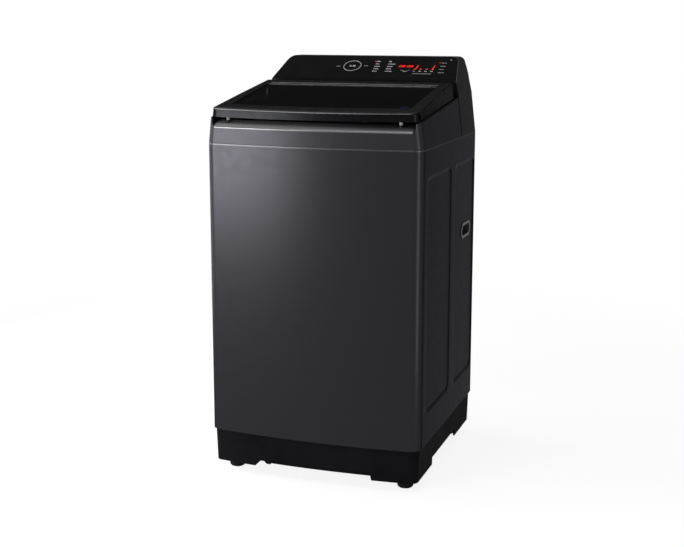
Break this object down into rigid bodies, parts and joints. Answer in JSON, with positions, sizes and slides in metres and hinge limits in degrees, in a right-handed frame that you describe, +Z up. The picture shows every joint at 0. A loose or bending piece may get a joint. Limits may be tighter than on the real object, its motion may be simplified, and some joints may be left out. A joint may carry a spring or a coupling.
{
  "type": "top load washing machine",
  "caption": "Top load washing machine with a hinged glass lid, sloping key console, suspended tub with spinning basket and pulsator, pressed steel sides and levelling feet.",
  "frame": {"origin": "middle of the footprint on the floor", "axes": "+Z up, front towards -Y, +X to the right of someone facing the front"},
  "size_m": [0.54, 0.563, 1.02],
  "materials": {
    "cabinet_paint": "charcoal satin metallic paint",
    "zinc_steel": "zinc plated steel",
    "black_plastic": "moulded, fine texture",
    "top_plastic": "dark grey satin",
    "handle_plastic": "moulded",
    "fascia_gloss": "gloss black",
    "display_red": "dark red window",
    "board_green": "circuit board",
    "tinted_glass": "dark tempered glass",
    "trim_grey": "satin grey",
    "white_plastic": "moulded",
    "rubber_black": "matt rubber",
    "drum_steel": "stainless sheet",
    "cast_aluminium": "as cast",
    "motor_iron": "lacquered laminations"
  },
  "bodies": {
    "cabinet": {"cabinet_shell": "cabinet_paint", "back_panel": "zinc_steel", "back_panel_screws": "zinc_steel", "base": "black_plastic", "rear_feet": "rubber_black", "foot_lock_nuts": "zinc_steel", "carry_handle_left": "handle_plastic", "carry_handle_right": "handle_plastic", "top_frame": "top_plastic", "console_fascia": "fascia_gloss", "display_lens": "display_red", "control_board": "board_green", "lid_bumpers": "trim_grey", "lid_dampers": "black_plastic", "dispenser_housing": "white_plastic", "water_inlet_valve": "white_plastic", "inlet_hose": "rubber_black", "power_cord_gland": "black_plastic", "drain_outlet": "white_plastic", "corner_brackets": "zinc_steel", "suspension_rods": "zinc_steel", "drain_pump": "black_plastic", "drain_hose": "rubber_black"},
    "lid": {"lid_frame": "top_plastic", "lid_glass": "tinted_glass", "lid_rear_trim": "trim_grey", "lid_hinge_pins": "zinc_steel"},
    "tub": {"tub": "white_plastic", "tub_cover": "white_plastic", "bearing_housing": "cast_aluminium", "shaft_bearings": "zinc_steel", "stator": "motor_iron", "damper_cups": "white_plastic", "suspension_springs": "zinc_steel", "clutch_actuator": "black_plastic", "drain_bellows": "rubber_black"},
    "basket": {"basket": "drum_steel", "basket_base": "white_plastic", "balance_ring": "white_plastic", "lint_filters": "white_plastic", "spin_shaft": "zinc_steel"},
    "drive": {"pulsator": "white_plastic", "pulsator_cap": "white_plastic", "wash_shaft": "zinc_steel", "rotor": "motor_iron", "rotor_magnets": "motor_iron", "rotor_nut": "zinc_steel"},
    "pump_impeller": {"drain_pump_impeller": "white_plastic"},
    "clutch_coupler": {"clutch_coupler": "white_plastic"},
    "clutch_lever": {"clutch_lever": "zinc_steel"},
    "clutch_plunger": {"clutch_plunger": "zinc_steel"},
    "drawer": {"detergent_drawer": "white_plastic"},
    "front_left_foot": {"front_left_foot": "rubber_black"},
    "front_right_foot": {"front_right_foot": "rubber_black"},
    "start_key": {"start_key": "fascia_gloss"},
    "course_key": {"course_key": "fascia_gloss"},
    "option_key_1": {"option_key_1": "fascia_gloss"},
    "option_key_2": {"option_key_2": "fascia_gloss"},
    "option_key_3": {"option_key_3": "fascia_gloss"},
    "option_key_4": {"option_key_4": "fascia_gloss"}
  },
  "joints": [
    {"name": "lid_hinge", "type": "hinge", "parent": "cabinet", "child": "lid", "pos_m": [0, 0.0695, 0.9288], "axis": [-1, 0, 0], "range_deg": [0, 102]},
    {"name": "tub_bob", "type": "slide", "parent": "cabinet", "child": "tub", "axis": [0, 0, 1], "range_m": [-0.025, 0.012], "stiffness_N_per_m": 16000, "springref_m": 0.0151, "deforming": ["suspension_springs", "drain_bellows"]},
    {"name": "basket_spin", "type": "hinge", "parent": "tub", "child": "basket", "pos_m": [0, 0, 0.3], "axis": [0, 0, 1], "continuous": true},
    {"name": "pulsator_spin", "type": "hinge", "parent": "tub", "child": "drive", "pos_m": [0, 0, 0.3], "axis": [0, 0, 1], "continuous": true},
    {"name": "pump_spin", "type": "hinge", "parent": "cabinet", "child": "pump_impeller", "pos_m": [-0.11994, 0.14993, 0.16], "axis": [0, 0, 1], "continuous": true},
    {"name": "clutch_lever_pivot", "type": "hinge", "parent": "tub", "child": "clutch_lever", "pos_m": [0.07, 0, 0.19695], "axis": [0, -1, 0], "range_deg": [0, 14], "stiffness_Nm_per_rad": 0.1, "springref_deg": -5.73},
    {"name": "clutch_coupler_slide", "type": "slide", "parent": "basket", "child": "clutch_coupler", "axis": [0, 0, -1], "range_m": [0, 0.0087], "stiffness_N_per_m": 150, "springref_m": -0.006},
    {"name": "clutch_plunger_slide", "type": "slide", "parent": "tub", "child": "clutch_plunger", "axis": [0, 0, 1], "range_m": [0, 0.0175]},
    {"name": "drawer_slide", "type": "slide", "parent": "cabinet", "child": "drawer", "axis": [0, -1, 0], "range_m": [0, 0.09]},
    {"name": "front_left_foot_screw", "type": "slide", "parent": "cabinet", "child": "front_left_foot", "axis": [0, 0, -1], "range_m": [0, 0.012]},
    {"name": "front_right_foot_screw", "type": "slide", "parent": "cabinet", "child": "front_right_foot", "axis": [0, 0, -1], "range_m": [0, 0.012]},
    {"name": "start_key_press", "type": "slide", "parent": "cabinet", "child": "start_key", "axis": [0, 0.515, -0.8572], "range_m": [0, 0.001], "stiffness_N_per_m": 150, "springref_m": -0.0004},
    {"name": "course_key_press", "type": "slide", "parent": "cabinet", "child": "course_key", "axis": [0, 0.515, -0.8572], "range_m": [0, 0.001], "stiffness_N_per_m": 150, "springref_m": -0.0004},
    {"name": "option_key_1_press", "type": "slide", "parent": "cabinet", "child": "option_key_1", "axis": [0, 0.515, -0.8572], "range_m": [0, 0.001], "stiffness_N_per_m": 150, "springref_m": -0.0004},
    {"name": "option_key_2_press", "type": "slide", "parent": "cabinet", "child": "option_key_2", "axis": [0, 0.515, -0.8572], "range_m": [0, 0.001], "stiffness_N_per_m": 150, "springref_m": -0.0004},
    {"name": "option_key_3_press", "type": "slide", "parent": "cabinet", "child": "option_key_3", "axis": [0, 0.515, -0.8572], "range_m": [0, 0.001], "stiffness_N_per_m": 150, "springref_m": -0.0004},
    {"name": "option_key_4_press", "type": "slide", "parent": "cabinet", "child": "option_key_4", "axis": [0, 0.515, -0.8572], "range_m": [0, 0.001], "stiffness_N_per_m": 150, "springref_m": -0.0004}
  ],
  "couplings": [
    {"joint": "clutch_coupler_slide", "follows": "clutch_lever_pivot", "m_per_rad": 0.035},
    {"joint": "clutch_plunger_slide", "follows": "clutch_lever_pivot", "m_per_rad": 0.07}
  ]
}
